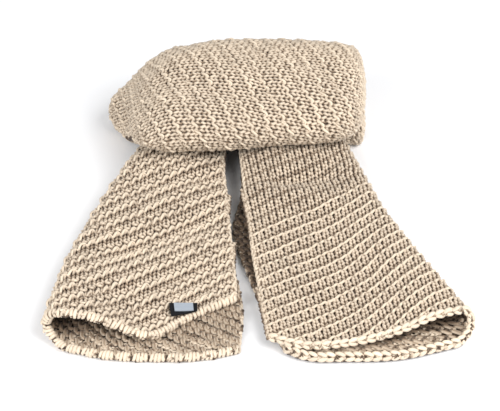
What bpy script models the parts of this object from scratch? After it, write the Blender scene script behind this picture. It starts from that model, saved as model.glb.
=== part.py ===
"""A knit scarf, folded lengthwise and laid on a table, its neck loop over both tails.

Metres, +Z up. X runs across the two tails, Y runs back from their near ends.
The tables are written in a working frame with X = 0 in the gap between the tails and
Y = 0 at the near ends; FRAME_SHIFT moves it to the middle of the whole scarf.
"""
import math

import bmesh
import bpy
import numpy as np

# ---- Driving sizes ------------------------------------------------------------------
WALL = 0.0060              # thickness of the knitted cloth
STITCH_WIDE = 0.0068       # one stitch, across the cloth
LEFT_COURSE = 0.0037       # one course along each tail, where the cloth lies drawn together
RIGHT_COURSE = 0.0031
LOOP_COURSE = 0.0043       # one course along the neck loop, where it is drawn out
REPEAT = 4                 # stitches across, and courses along, in one diagonal ridge
RIDGE_RISE = 0.0015        # how far a ridge stands out of the wall
CORD_RISE = 0.0009         # how far the bound-off edge stands out of the wall
RIM_ROUND = 0.0018         # how far a cut edge is rounded out
LAYER_GAP = 0.0006         # least gap between two folded layers
TAIL_LENGTH = 0.262        # from a tail's near end to the underfold behind it
LIP = 0.0120               # rounding under a heaped fold, front and back
LIP_SHARE = 0.3            # most of a heaped fold's depth that its lip may take
FRONT_FULLNESS = 1.1       # power of a heaped fold's front quarter: under 1 is fuller than round
BACK_FULLNESS = 0.9        # power of its back quarter
FRAME_SHIFT = (0.0007, -0.1726, 0.0)

LEFT_DRIFT = 0.115         # how far the stitches' columns drift in, per metre that a tail runs back
RIGHT_DRIFT = 0.060
LOOP_TURN = math.radians(8)    # how far the cloth lies turned on the heaped folds
FLOOR_Z = WALL / 2

# Height of the ridge over one repeat: it climbs fast and falls slowly.
RIDGE_PROFILE = ((0.00, 0.0), (0.25, 1.0), (0.50, 0.8), (0.75, 0.15), (1.00, 0.0))
RIDGE_END = 1.8            # station round a tail's fold where its ridges have died away
RIDGE_FADE = 0.3           # stations that they take to do so
CREASE_FADE = 0.25         # stations before the fold's crest where the creases die away
HEAP_FADE = 0.012          # height over a heaped fold's underside where its ridges begin

# ---- Tails: one row a section, from the near end back ---------------------------------
# along, upper selvedge x, outermost x of the fold, lower selvedge x,
# then the height of the wall's middle at the selvedge, inner part, body and crest
LEFT_TAIL = (
    (0.000, -0.0188, -0.1725, -0.0165, 0.0096, 0.0097, 0.0185, 0.0300),
    (0.050, -0.0212, -0.1660, -0.0145, 0.0099, 0.0112, 0.0185, 0.0285),
    (0.100, -0.0245, -0.1560, -0.0220, 0.0112, 0.0150, 0.0205, 0.0265),
    (0.150, -0.0275, -0.1415, -0.0305, 0.0140, 0.0195, 0.0235, 0.0262),
    (0.200, -0.0308, -0.1250, -0.0350, 0.0175, 0.0250, 0.0280, 0.0280),
    (0.262, -0.0345, -0.1010, -0.0385, 0.0215, 0.0295, 0.0310, 0.0298),
)
RIGHT_TAIL = (
    (0.000, 0.0060, 0.1715, 0.0200, 0.0100, 0.0110, 0.0150, 0.0240),
    (0.050, 0.0007, 0.1495, 0.0030, 0.0120, 0.0140, 0.0170, 0.0238),
    (0.100, -0.0055, 0.1280, -0.0110, 0.0145, 0.0180, 0.0198, 0.0240),
    (0.150, -0.0095, 0.1085, -0.0215, 0.0185, 0.0235, 0.0232, 0.0250),
    (0.200, -0.0140, 0.0940, -0.0150, 0.0228, 0.0280, 0.0280, 0.0276),
    (0.262, -0.0185, 0.0770, -0.0160, 0.0245, 0.0305, 0.0310, 0.0298),
)
HEIGHT_STATIONS = (0.0, 0.30, 0.62, 0.92, 1.0)

# How far each near edge is drawn back. Station 0 is the upper selvedge, 1 the crest,
# 2 the foot of the fold and 3 the lower selvedge.
LEFT_SETBACK = (
    (0.00, 0.0620), (0.18, 0.0480), (0.30, 0.0370), (0.50, 0.0165), (0.72, 0.0200),
    (1.00, 0.0235), (1.50, 0.0260), (2.00, 0.0120), (2.20, 0.0040), (2.50, 0.0000),
    (2.80, 0.0020), (3.00, 0.0090),
)
RIGHT_SETBACK = (
    (0.00, 0.0180), (0.16, 0.0085), (0.43, 0.0090), (0.69, 0.0180), (0.90, 0.0290),
    (1.00, 0.0330), (1.50, 0.0300), (2.00, 0.0160), (2.35, 0.0020), (2.65, 0.0000),
    (2.90, 0.0020), (3.00, 0.0090),
)

# How far back a course lies, by its length across the cloth from the upper selvedge
LEFT_COURSES = ((0.000, 0.033), (0.150, 0.014), (0.190, 0.014), (0.240, 0.002), (0.340, 0.006))
RIGHT_COURSES = (
    (0.000, 0.004), (0.070, 0.004), (0.150, 0.026), (0.185, 0.024), (0.240, 0.003), (0.340, 0.006),
)

# Soft troughs (depth over 0) and ridges (depth under 0) in the upper layers, in plan:
# from x, y to x, y, then half width and depth
LEFT_CREASES = (
    (-0.050, 0.150, -0.150, 0.082, 0.014, 0.0050),
    (-0.045, 0.118, -0.120, 0.068, 0.012, -0.0022),
    (-0.135, 0.058, -0.085, 0.022, 0.016, 0.0030),
    (-0.040, 0.205, -0.118, 0.178, 0.010, 0.0028),
)
RIGHT_CREASES = (
    (0.018, 0.192, 0.090, 0.206, 0.010, 0.0062),
    (-0.002, 0.180, 0.060, 0.166, 0.012, -0.0034),
    (0.020, 0.108, 0.125, 0.070, 0.016, 0.0018),
    (-0.004, 0.228, 0.045, 0.232, 0.009, -0.0016),
)

# ---- Heaped folds of the neck loop: one row a section, left to right ---------------------
# x, then y of the front, back and crest, then z of the crest, front nose, back nose, underside
NECK_WRAP = (
    (-0.1360, 0.2985, 0.3110, 0.3040, 0.0270, 0.0190, 0.0190, 0.0130),
    (-0.1330, 0.2940, 0.3160, 0.3030, 0.0330, 0.0180, 0.0190, 0.0060),
    (-0.1265, 0.2840, 0.3220, 0.3010, 0.0400, 0.0190, 0.0210, 0.0040),
    (-0.1180, 0.2680, 0.3280, 0.2970, 0.0480, 0.0240, 0.0270, 0.0070),
    (-0.1080, 0.2340, 0.3330, 0.2920, 0.0580, 0.0400, 0.0400, 0.0320),
    (-0.0850, 0.2160, 0.3400, 0.2930, 0.0775, 0.0490, 0.0520, 0.0362),
    (-0.0600, 0.2155, 0.3440, 0.2950, 0.0840, 0.0520, 0.0560, 0.0362),
    (-0.0200, 0.2175, 0.3460, 0.2960, 0.0865, 0.0530, 0.0580, 0.0362),
    (0.0200, 0.2240, 0.3460, 0.2960, 0.0865, 0.0530, 0.0580, 0.0362),
    (0.0550, 0.2275, 0.3450, 0.2960, 0.0850, 0.0525, 0.0570, 0.0362),
    (0.0740, 0.2320, 0.3430, 0.2965, 0.0830, 0.0510, 0.0560, 0.0362),
    (0.0850, 0.2430, 0.3400, 0.2990, 0.0805, 0.0490, 0.0540, 0.0362),
    (0.0900, 0.2540, 0.3360, 0.3040, 0.0755, 0.0480, 0.0520, 0.0362),
    (0.0930, 0.2670, 0.3290, 0.3080, 0.0680, 0.0470, 0.0490, 0.0365),
    (0.0945, 0.2800, 0.3220, 0.3110, 0.0590, 0.0450, 0.0450, 0.0380),
)
NECK_UNDERFOLD = (
    (-0.1040, 0.2900, 0.3180, 0.3030, 0.0120, 0.0060, 0.0060, 0.0000),
    (-0.1000, 0.2780, 0.3280, 0.3030, 0.0220, 0.0110, 0.0110, 0.0000),
    (-0.0920, 0.2700, 0.3360, 0.3030, 0.0320, 0.0160, 0.0160, 0.0000),
    (-0.0750, 0.2670, 0.3400, 0.3030, 0.0340, 0.0170, 0.0170, 0.0000),
    (-0.0200, 0.2670, 0.3420, 0.3030, 0.0340, 0.0170, 0.0170, 0.0000),
    (0.0400, 0.2670, 0.3420, 0.3030, 0.0340, 0.0170, 0.0170, 0.0000),
    (0.0700, 0.2670, 0.3410, 0.3030, 0.0340, 0.0170, 0.0170, 0.0000),
    (0.0835, 0.2713, 0.3380, 0.3000, 0.0339, 0.0170, 0.0170, 0.0000),
    (0.0905, 0.2713, 0.3310, 0.2950, 0.0330, 0.0165, 0.0165, 0.0000),
    (0.0940, 0.2750, 0.3190, 0.2930, 0.0280, 0.0150, 0.0150, 0.0000),
    (0.0955, 0.2840, 0.3060, 0.2940, 0.0220, 0.0120, 0.0120, 0.0030),
)
WRAP_CREASES = (
    (-0.085, 0.272, 0.045, 0.238, 0.016, 0.0045),
    (-0.003, 0.318, 0.003, 0.262, 0.009, 0.0030),
    (0.030, 0.300, 0.085, 0.262, 0.012, 0.0022),
    (-0.110, 0.300, -0.060, 0.330, 0.012, 0.0025),
)

# ---- Label on the left tail's upper layer --------------------------------------------
# Corners in plan: near left, near right, far right, far left. The patch's near side runs along
# the rolled edge.
PATCH_CORNERS = ((-0.0713, 0.0362), (-0.0507, 0.0438), (-0.0509, 0.0529), (-0.0735, 0.0503))
PLATE_CORNERS = ((-0.0688, 0.0412), (-0.0538, 0.0433), (-0.0546, 0.0520), (-0.0699, 0.0501))
LABEL_CLEAR = 0.0005
PATCH_THICK = 0.0009
PLATE_THICK = 0.0007
PLATE_GAP = 0.0003

# ---- Fineness of the meshes ------------------------------------------------------------
TAIL_ROWS = 85
UPPER_COLUMNS = 21
FOLD_COLUMNS = 6
LOWER_COLUMNS = 5
INNER_ROWS = 14
INNER_STATIONS = (0.0, 0.2, 0.4, 0.6, 0.8, 1.0, 1.25, 1.5, 1.75, 2.0, 2.2, 2.4, 2.6, 2.8, 3.0)
PAD_COLUMN = 0.0043
WRAP_ARCH = 24
UNDERFOLD_ARCH = 12
LABEL_COLUMNS = 7
LABEL_ROWS = 5
FINDING_STEPS = 12         # rounds in which the cloth place under a plan point is found
MEASURING_STATIONS = 181   # columns on which a tail's lengths are measured
ARCH_POINTS = 400          # points on each quarter of a heaped fold's outline

# Finish: colour, roughness, metallic
FINISHES = {
    "knit_cream": ((0.76, 0.66, 0.52), 0.9, 0.0),
    "label_cloth": ((0.015, 0.015, 0.018), 0.9, 0.0),
    "label_metal": ((0.62, 0.64, 0.66), 0.35, 0.8),
}


# ---- Curves through table values ----------------------------------------------------------
def curve(at, knots_at, knots):
    """Smooth curve through the knots, read at each place in at."""
    knots_at = np.asarray(knots_at, float)
    knots = np.asarray(knots, float)
    at = np.asarray(at, float)
    steps = np.diff(knots_at)
    rises = np.diff(knots) / steps
    slopes = np.empty_like(knots)
    slopes[1:-1] = (rises[:-1] * steps[1:] + rises[1:] * steps[:-1]) / (steps[:-1] + steps[1:])
    slopes[0] = rises[0]
    slopes[-1] = rises[-1]
    span = np.clip(np.searchsorted(knots_at, at, side="right") - 1, 0, len(steps) - 1)
    step = steps[span]
    t = np.clip((at - knots_at[span]) / step, 0.0, 1.0)
    blend = t * t * (3 - 2 * t)
    start_pull = t * (1 - t) ** 2
    end_pull = t * t * (1 - t)
    line = knots[span] * (1 - blend) + knots[span + 1] * blend
    return line + step * (start_pull * slopes[span] - end_pull * slopes[span + 1])


def ridge_phase(across, along, course, lean):
    """Place in the diagonal pattern, where each whole number starts a new ridge."""
    return (along / course - lean * across / STITCH_WIDE) / REPEAT


def ridge_height(phase):
    """Share of RIDGE_RISE at a phase, where each whole number starts a new ridge."""
    places, heights = zip(*RIDGE_PROFILE)
    return np.interp(np.mod(phase, 1.0), places, heights)


def trough(x, y, creases):
    """Depth of the soft creases at the plan points x, y."""
    depth = np.zeros(np.broadcast(x, y).shape)
    for x0, y0, x1, y1, width, deep in creases:
        run = np.array((x1 - x0, y1 - y0))
        length = math.hypot(*run)
        along = ((x - x0) * run[0] + (y - y0) * run[1]) / length ** 2
        nearest = np.clip(along, 0.0, 1.0)
        away = np.hypot(x - x0 - nearest * run[0], y - y0 - nearest * run[1])
        depth = depth + deep * np.exp(-((away / width) ** 2))
    return depth


def lengths(points, axis):
    """Running length of the lines of points along an axis."""
    steps = np.linalg.norm(np.diff(points, axis=axis), axis=2)
    start = np.zeros_like(np.take(steps, [0], axis=axis))
    return np.concatenate((start, np.cumsum(steps, axis=axis)), axis=axis)


def normals(points, side):
    """Unit normals of a grid of points."""
    across = np.gradient(points, axis=1)
    along = np.gradient(points, axis=0)
    out = np.cross(across, along) * side
    return out / np.linalg.norm(out, axis=2, keepdims=True)


# ---- Tails ------------------------------------------------------------------------------------
def tail_middle(table, setback, creases, side, alongs, stations):
    """Middle of a tail's wall: an upper layer, a round fold at its outer side, a lower layer."""
    table = np.asarray(table)
    alongs = np.asarray(alongs, float)[:, None]
    stations = np.asarray(stations, float)[None, :]
    column = [curve(alongs, table[:, 0], table[:, i]) for i in range(1, 8)]
    inner_x, outer_x, under_x, edge_z, inner_z, body_z, crest_z = column
    radius = (crest_z - FLOOR_Z) / 2
    fold_x = outer_x - side * (FLOOR_Z + radius)

    fade = 1 - alongs / TAIL_LENGTH
    places, backs = zip(*setback)
    y = alongs + curve(stations, places, backs) * fade

    upper = np.clip(stations, 0.0, 1.0)
    heights = (edge_z, inner_z, body_z, crest_z, crest_z)
    top_z = np.empty(np.broadcast(alongs, stations).shape)
    for row in range(top_z.shape[0]):
        knots = [height[row, 0] for height in heights]
        top_z[row] = curve(upper[0], HEIGHT_STATIONS, knots)
    top_x = inner_x + (fold_x - inner_x) * upper
    fold_fade = np.clip((1.0 - upper) / CREASE_FADE, 0.0, 1.0)
    top_z = top_z - trough(top_x, y, creases) * fold_fade
    top_z = np.maximum(top_z, FLOOR_Z + WALL + LAYER_GAP)

    turn = math.pi * np.clip(stations - 1.0, 0.0, 1.0)
    round_x = fold_x + side * radius * np.sin(turn)
    round_z = FLOOR_Z + radius * (1 + np.cos(turn))

    lower = np.clip(stations - 2.0, 0.0, 1.0)
    low_x = fold_x + (under_x - fold_x) * lower

    x = np.where(stations < 1.0, top_x, np.where(stations < 2.0, round_x, low_x))
    z = np.where(stations < 1.0, top_z, np.where(stations < 2.0, round_z, FLOOR_Z))
    return np.stack((x, y + 0 * x, z), axis=2)


def tail_surface(table, setback, creases, side, alongs, stations):
    """Points, normals and cloth-wise lengths of a tail at the given rows and columns."""
    fine = np.unique(np.concatenate((np.linspace(0.0, 3.0, MEASURING_STATIONS), stations)))
    alongs = np.asarray(alongs, float)
    points = tail_middle(table, setback, creases, side, alongs, fine)
    across = lengths(points, 1)
    out = normals(points, side)
    keep = np.searchsorted(fine, stations)
    return points[:, keep], out[:, keep], across[:, keep]


def tail(name, table, setback, creases, courses, course, drift, side):
    """One tail as a closed wall, ridged outside and plain inside."""
    alongs = np.linspace(0.0, TAIL_LENGTH, TAIL_ROWS)
    stations = np.concatenate((
        np.linspace(0.0, 1.0, UPPER_COLUMNS + 1)[:-1],
        np.linspace(1.0, 2.0, FOLD_COLUMNS + 1)[:-1],
        np.linspace(2.0, 3.0, LOWER_COLUMNS + 1)))
    points, out, across = tail_surface(table, setback, creases, side, alongs, stations)
    places, backs = zip(*courses)
    rows = points[:, :, 1] - curve(across, places, backs)
    phase = ridge_phase(across + drift * rows, rows, course, side)
    raised = np.clip((RIDGE_END - stations) / RIDGE_FADE, 0.0, 1.0)[None, :]
    rise = RIDGE_RISE * ridge_height(phase) * raised
    rise[0:2] = CORD_RISE * raised
    outer = points + out * (WALL / 2 + rise)[:, :, None]
    outer[:, :, 2] = np.maximum(outer[:, :, 2], 0.0)
    outer[:, stations >= 2.0, 2] = 0.0

    inner_alongs = np.linspace(0.0, TAIL_LENGTH, INNER_ROWS)
    middle, inward, _ = tail_surface(table, setback, creases, side, inner_alongs, INNER_STATIONS)
    inner = middle - inward * (WALL / 2)
    inner_stations = np.asarray(INNER_STATIONS)
    upper = inner_stations <= 1.0
    inner[:, :, 2] = np.maximum(inner[:, :, 2], WALL)
    inner[:, upper, 2] = np.maximum(inner[:, upper, 2], WALL + LAYER_GAP)
    inner[:, inner_stations >= 2.0, 2] = WALL

    rim = rim_loop(points, RIM_ROUND)
    return shell(name, outer, rim, stations / 3, inner, inner_stations / 3)


def rim_loop(points, reach):
    """The border of a grid of points, moved outward in the cloth, the far end left plain."""
    moved = points.copy()
    near = points[0] - points[1]
    moved[0] += near / np.linalg.norm(near, axis=1, keepdims=True) * reach
    first = points[:, 0] - points[:, 1]
    moved[:, 0] += first / np.linalg.norm(first, axis=1, keepdims=True) * reach
    last = points[:, -1] - points[:, -2]
    moved[:, -1] += last / np.linalg.norm(last, axis=1, keepdims=True) * reach
    return moved


# ---- Closed meshes from grids -------------------------------------------------------------------
def border(rows, shares):
    """Border of a grid as (row, column, place), place running 0 to 4 round its sides.

    shares are the columns' places across the cloth, from 0 to 1.
    """
    last = len(shares) - 1
    loop = []
    loop += [(0, c, shares[c]) for c in range(last)]
    loop += [(r, last, 1 + r / (rows - 1)) for r in range(rows - 1)]
    loop += [(rows - 1, c, 3 - shares[c]) for c in range(last, 0, -1)]
    loop += [(r, 0, 4 - r / (rows - 1)) for r in range(rows - 1, 0, -1)]
    return loop


def add_grid(mesh, points):
    """Vertices and faces of a grid, as a table of vertices."""
    table = [[mesh.verts.new(tuple(p)) for p in row] for row in points]
    for low, high in zip(table[:-1], table[1:]):
        for a, b, c, d in zip(low[:-1], low[1:], high[1:], high[:-1]):
            mesh.faces.new((a, b, c, d))
    return table


def zip_loops(mesh, first, second):
    """Triangles between two closed loops of (place, vertex), both placed 0 to 4."""
    first = first + [(4.0, first[0][1])]
    second = second + [(4.0, second[0][1])]
    i = j = 0
    while i < len(first) - 1 or j < len(second) - 1:
        first_next = first[i + 1][0] if i < len(first) - 1 else math.inf
        second_next = second[j + 1][0] if j < len(second) - 1 else math.inf
        if first_next <= second_next:
            mesh.faces.new((first[i][1], first[i + 1][1], second[j][1]))
            i += 1
        else:
            mesh.faces.new((first[i][1], second[j + 1][1], second[j][1]))
            j += 1


def shell(name, outer, rim, shares, inner, inner_shares):
    """A closed wall: outer grid, rounded rim, and a plainer inner grid."""
    mesh = bmesh.new()
    outside = add_grid(mesh, outer)
    inside = add_grid(mesh, inner)
    edge = border(len(outer), shares)
    round_rim = [(place, outside[r][c], rim[r, c]) for r, c, place in edge]
    middle = [(place, mesh.verts.new(tuple(at))) for place, _, at in round_rim]
    for i, (_, top, _) in enumerate(round_rim):
        j = (i + 1) % len(round_rim)
        mesh.faces.new((top, round_rim[j][1], middle[j][1], middle[i][1]))
    plain = [(place, inside[r][c]) for r, c, place in border(len(inner), inner_shares)]
    zip_loops(mesh, middle, plain)
    return finish(mesh, name, "knit_cream")


def finish(mesh, name, finish_name):
    """Faces turned outward, then a named object with its material."""
    bmesh.ops.recalc_face_normals(mesh, faces=mesh.faces)
    bmesh.ops.translate(mesh, verts=mesh.verts, vec=FRAME_SHIFT)
    data = bpy.data.meshes.new(name)
    mesh.to_mesh(data)
    mesh.free()
    data.shade_smooth()
    piece = bpy.data.objects.new(name, data)
    data.materials.append(material(finish_name))
    bpy.context.scene.collection.objects.link(piece)
    return piece


def material(finish_name):
    """A plain finish, made once."""
    if finish_name in bpy.data.materials:
        return bpy.data.materials[finish_name]
    colour, roughness, metallic = FINISHES[finish_name]
    made = bpy.data.materials.new(finish_name)
    made.use_nodes = True
    surface = made.node_tree.nodes["Principled BSDF"]
    surface.inputs["Base Color"].default_value = (*colour, 1.0)
    surface.inputs["Roughness"].default_value = roughness
    surface.inputs["Metallic"].default_value = metallic
    return made


# ---- Heaped folds ---------------------------------------------------------------------------------
def arch(front_y, back_y, crest_y, crest_z, nose_z, back_z, under_z):
    """Outline of one section from the front underside, over the crest, to the back underside.

    Returns y, z and the place of the crest in them.
    """
    lip = min(LIP, (back_y - front_y) * LIP_SHARE)
    turn = np.linspace(0.0, math.pi / 2, ARCH_POINTS)
    low_front_y = front_y + lip * (1 - np.sin(turn))
    low_front_z = nose_z - (nose_z - under_z) * np.cos(turn)
    face_y = crest_y - (crest_y - front_y) * np.cos(turn) ** FRONT_FULLNESS
    face_z = nose_z + (crest_z - nose_z) * np.sin(turn) ** FRONT_FULLNESS
    back_face_y = crest_y + (back_y - crest_y) * np.sin(turn) ** BACK_FULLNESS
    back_face_z = back_z + (crest_z - back_z) * np.cos(turn) ** BACK_FULLNESS
    low_back_y = back_y - lip * (1 - np.cos(turn))
    low_back_z = back_z - (back_z - under_z) * np.sin(turn)
    y = np.concatenate((low_front_y, face_y[1:], back_face_y[1:], low_back_y[1:]))
    z = np.concatenate((low_front_z, face_z[1:], back_face_z[1:], low_back_z[1:]))
    return y, z, 2 * ARCH_POINTS - 2


def pad_grid(table, creases, count):
    """Grid over a heaped fold: sections along X, count steps over each arch.

    Returns the points, the cloth-wise length of each from the crest, front positive, and how
    fully the ridges stand there.
    """
    table = np.asarray(table)
    first, last = table[0, 0], table[-1, 0]
    steps = int(round((last - first) / PAD_COLUMN))
    places = np.union1d(np.linspace(first, last, steps + 1), table[[1, -2], 0])
    columns = [curve(places, table[:, 0], table[:, i]) for i in range(1, 8)]
    columns[6] = np.maximum(columns[6], 0.0)
    points = np.empty((len(places), count + 1, 3))
    across = np.empty((len(places), count + 1))
    for row, x in enumerate(places):
        y, z, crest = arch(*(column[row] for column in columns))
        line = np.stack((y, z), axis=1)[None]
        run = lengths(line, 1)[0]
        at = np.linspace(0.0, run[-1], count + 1)
        points[row, :, 0] = x
        points[row, :, 1] = np.interp(at, run, y)
        points[row, :, 2] = np.interp(at, run, z)
        across[row] = run[crest] - at
    under = columns[6][:, None]
    fullness = np.clip((points[:, :, 2] - under) / HEAP_FADE, 0.0, 1.0)
    points[:, :, 2] -= trough(points[:, :, 0], points[:, :, 1], creases) * fullness
    return points, across, fullness


def heap(name, table, creases, count):
    """A heaped fold as one rounded solid with a flat underside and diagonal ridges over it."""
    points, across, fullness = pad_grid(table, creases, count)
    along = lengths(points, 0)
    turned_along = along * math.cos(LOOP_TURN) + across * math.sin(LOOP_TURN)
    turned_across = across * math.cos(LOOP_TURN) - along * math.sin(LOOP_TURN)
    phase = ridge_phase(turned_across, turned_along, LOOP_COURSE, 1)
    out = normals(points, -1)
    rise = RIDGE_RISE * ridge_height(phase) * fullness
    rise[[0, -1]] = 0.0
    raised = points + out * rise[:, :, None]
    raised[:, :, 2] = np.maximum(raised[:, :, 2], points[:, :1, 2])
    mesh = bmesh.new()
    rows = add_grid(mesh, raised)
    for low, high in zip(rows[:-1], rows[1:]):
        mesh.faces.new((low[0], high[0], high[-1], low[-1]))
    for row in (rows[0], rows[-1]):
        centre = mesh.verts.new(tuple(np.mean([v.co for v in row], axis=0)))
        for a, b in zip(row, row[1:] + row[:1]):
            mesh.faces.new((a, b, centre))
    return finish(mesh, name, "knit_cream")


# ---- Label -------------------------------------------------------------------------------------------
def left_tail_point(x, y):
    """Middle of the left tail's upper layer over the plan point x, y."""
    table = np.asarray(LEFT_TAIL)
    places, backs = zip(*LEFT_SETBACK)
    along, station = y, 0.0
    for _ in range(FINDING_STEPS):
        inner_x, outer_x, crest_z = (curve(along, table[:, 0], table[:, i]) for i in (1, 2, 7))
        fold_x = outer_x + FLOOR_Z + (crest_z - FLOOR_Z) / 2
        station = (x - inner_x) / (fold_x - inner_x)
        back = curve(station, places, backs)
        along = (y - back) / (1 - back / TAIL_LENGTH)
    return tail_middle(LEFT_TAIL, LEFT_SETBACK, LEFT_CREASES, -1, [along], [station])[0, 0]


def label_layer(name, corners, lift, thick, finish_name):
    """A thin plate that follows the left tail's upper layer, moved out from its points."""
    near_left, near_right, far_right, far_left = np.asarray(corners)
    points = np.empty((LABEL_ROWS, LABEL_COLUMNS, 3))
    for row, back in enumerate(np.linspace(0, 1, LABEL_ROWS)):
        left = near_left + (far_left - near_left) * back
        right = near_right + (far_right - near_right) * back
        for column, share in enumerate(np.linspace(0, 1, LABEL_COLUMNS)):
            points[row, column] = left_tail_point(*(left + (right - left) * share))
    out = np.mean(normals(points, 1), axis=(0, 1))
    out = out / np.linalg.norm(out)
    low = points + out * lift
    high = low + out * thick
    mesh = bmesh.new()
    bottom = add_grid(mesh, low)
    top = add_grid(mesh, high)
    edge = border(LABEL_ROWS, np.linspace(0, 1, LABEL_COLUMNS))
    for (r0, c0, _), (r1, c1, _) in zip(edge, edge[1:] + edge[:1]):
        mesh.faces.new((bottom[r0][c0], bottom[r1][c1], top[r1][c1], top[r0][c0]))
    return finish(mesh, name, finish_name)


def label():
    """A woven patch and the blank plate on it."""
    lift = WALL / 2 + RIDGE_RISE + LABEL_CLEAR
    plate_lift = lift + PATCH_THICK + PLATE_GAP
    label_layer("label_patch", PATCH_CORNERS, lift, PATCH_THICK, "label_cloth")
    label_layer("label_plate", PLATE_CORNERS, plate_lift, PLATE_THICK, "label_metal")


def main():
    for old in list(bpy.data.objects):
        bpy.data.objects.remove(old)
    tail("left_tail", LEFT_TAIL, LEFT_SETBACK, LEFT_CREASES, LEFT_COURSES, LEFT_COURSE,
         LEFT_DRIFT, -1)
    tail("right_tail", RIGHT_TAIL, RIGHT_SETBACK, RIGHT_CREASES, RIGHT_COURSES, RIGHT_COURSE,
         RIGHT_DRIFT, 1)
    heap("neck_wrap", NECK_WRAP, WRAP_CREASES, WRAP_ARCH)
    heap("neck_underfold", NECK_UNDERFOLD, (), UNDERFOLD_ARCH)
    label()


main()
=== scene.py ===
"""Looks of the knit scarf: every stitch is a loop of yarn on the folded cloth.

Metres, +Z up. The tables are in the CAD source's working frame, with X = 0 in the gap
between the tails and Y = 0 at their near ends; FRAME_SHIFT moves it to the shared frame.
"""
import math

import bmesh
import bpy
import numpy as np
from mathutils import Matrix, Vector


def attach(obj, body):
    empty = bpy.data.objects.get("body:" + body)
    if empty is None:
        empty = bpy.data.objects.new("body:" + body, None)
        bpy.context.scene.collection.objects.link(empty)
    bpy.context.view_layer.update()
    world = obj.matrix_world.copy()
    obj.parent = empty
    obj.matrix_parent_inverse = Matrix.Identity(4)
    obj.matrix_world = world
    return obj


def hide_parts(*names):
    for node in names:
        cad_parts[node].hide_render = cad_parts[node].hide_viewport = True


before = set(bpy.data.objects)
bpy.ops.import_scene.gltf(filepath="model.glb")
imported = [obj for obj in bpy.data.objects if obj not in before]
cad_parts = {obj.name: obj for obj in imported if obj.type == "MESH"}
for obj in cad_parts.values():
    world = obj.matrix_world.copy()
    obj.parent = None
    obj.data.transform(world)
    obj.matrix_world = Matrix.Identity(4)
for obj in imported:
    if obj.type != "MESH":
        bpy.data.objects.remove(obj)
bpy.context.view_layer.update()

# ---- Cloth sizes --------------------------------------------------------------------------
WALL = 0.0060              # thickness of the knitted cloth
STITCH_WIDE = 0.0068       # one stitch, across the cloth
LEFT_COURSE = 0.0037       # one course along each tail, where the cloth lies drawn together
RIGHT_COURSE = 0.0031
LOOP_COURSE = 0.0043       # one course along the neck loop, where it is drawn out
REPEAT = 4                 # stitches across, and courses along, in one diagonal ridge
LAYER_GAP = 0.0006         # least gap between two folded layers
TAIL_LENGTH = 0.262        # from a tail's near end to the underfold behind it
LIP = 0.0120               # rounding under a heaped fold, front and back
LIP_SHARE = 0.3            # or this share of the section's depth, where that is less
FRONT_FULLNESS = 1.1       # the lower, the fuller the fold's face
BACK_FULLNESS = 0.9
CREASE_FADE = 0.25         # stations before the fold's crest where the creases die away
HEAP_FADE = 0.012          # height over a heaped fold's underside where its creases begin
LEFT_DRIFT = 0.115         # how far the stitches' columns drift in, per metre that a tail runs back
RIGHT_DRIFT = 0.060
LOOP_TURN = math.radians(8)    # how far the cloth lies turned on the heaped folds
FRAME_SHIFT = np.array((0.0007, -0.1726, 0.0))
FLOOR_Z = WALL / 2
# Height of a ridge from one raised strand to the next, the way the scarf was knitted
RIDGE_PROFILE = (
    (0.00, 0.92), (0.08, 1.0), (0.26, 0.86), (0.50, 0.50), (0.74, 0.14), (0.88, 0.0), (0.95, 0.35),
    (1.00, 0.92),
)

# ---- Yarn ---------------------------------------------------------------------------------
YARN_RADIUS = 0.00135
YARN_SIDES = 4
EDGE_SIDES = 5             # of the yarn in the cords and chains along the borders
LOOP_YARN = 0.00156        # drawn out along the neck loop, it lies fuller
KNIT_COURSES = 3           # of the REPEAT courses, those before the purl bump
LEFT_KNITS = 3             # and those that show their knit face
RIGHT_KNITS = 4
LOOP_LEAN = 0.24           # how far a loop's legs lean, in stitch widths
LOOP_TALL = 0.72           # half height of a loop, in courses
LOOP_DEEP = 0.00125        # how far a loop's legs stand before its head
PURL_FOOT = 0.80           # how far a purl stitch's own feet stand out, as a share of the loop's
PURL_SLANT = 0.5           # courses by which a loop's head leans in front of a purl stitch
BUMP_PHASE = 0.24          # where the purl bumps lie, from one raised strand to the next
YARN_LIFT = 0.00030        # middle of the yarn over the middle of the wall
INNER_LIFT = -0.00050      # the same in the lower layers, whose insides show
INNER_LOOPS = (1.4, 1.00, 0.36)   # depth, thickness and paleness under painted shade, as shares of the others'
INNER_EDGE = 0.011         # this near the end they are as pale as the others; their painted shade sets in from there
TAIL_SWELL = 0.0024        # how far the stitches themselves rise over one ridge
LOOP_SWELL = 0.0012
RIDGE_LEVEL = 0.35         # share of it that lies under the middle
JITTER = 0.10              # unevenness of the loops, as a share of their size
UPPER_GROUND = -0.0006     # how far the ground cloth stands out of the wall's middle
LOWER_GROUND = 0.0012
PAINTED_SHADE_SPAN = 0.0036        # height over the ground at which yarn escapes the painted shade and has its full colour
HEAP_SINK = 0.0022         # how far the stitches' middle lies inside a heaped fold's form
HEAP_GROUND_SINK = 0.0030
EVENING = 0.6              # how far a heaped fold's courses are kept in upright planes
OVERRUN = 0.25             # how much of its overlap a stitch keeps at the cloth's border
FLOOR_CLEAR = 0.0001
SWELL_GONE = 0.95          # how far the cloth may face down before its ridges are gone
SWELL_FADE = 0.45
GROUND_THICK = 0.0006      # of the closed skin that fills the stitches' gaps
LOOP_SEGMENTS = 10         # straight bits in one stitch
# Each tail's stretches: first and last wale, bits in a stitch, seed, lift, and how far the ground
# stands out
TAIL_STRETCHES = (
    ("upper", 0, 19, LOOP_SEGMENTS, 11, YARN_LIFT, UPPER_GROUND),
    ("fold", 19, 30, LOOP_SEGMENTS, 12, YARN_LIFT, UPPER_GROUND),
    ("lower", 30, 54, 8, 13, INNER_LIFT, LOWER_GROUND),
)
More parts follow.
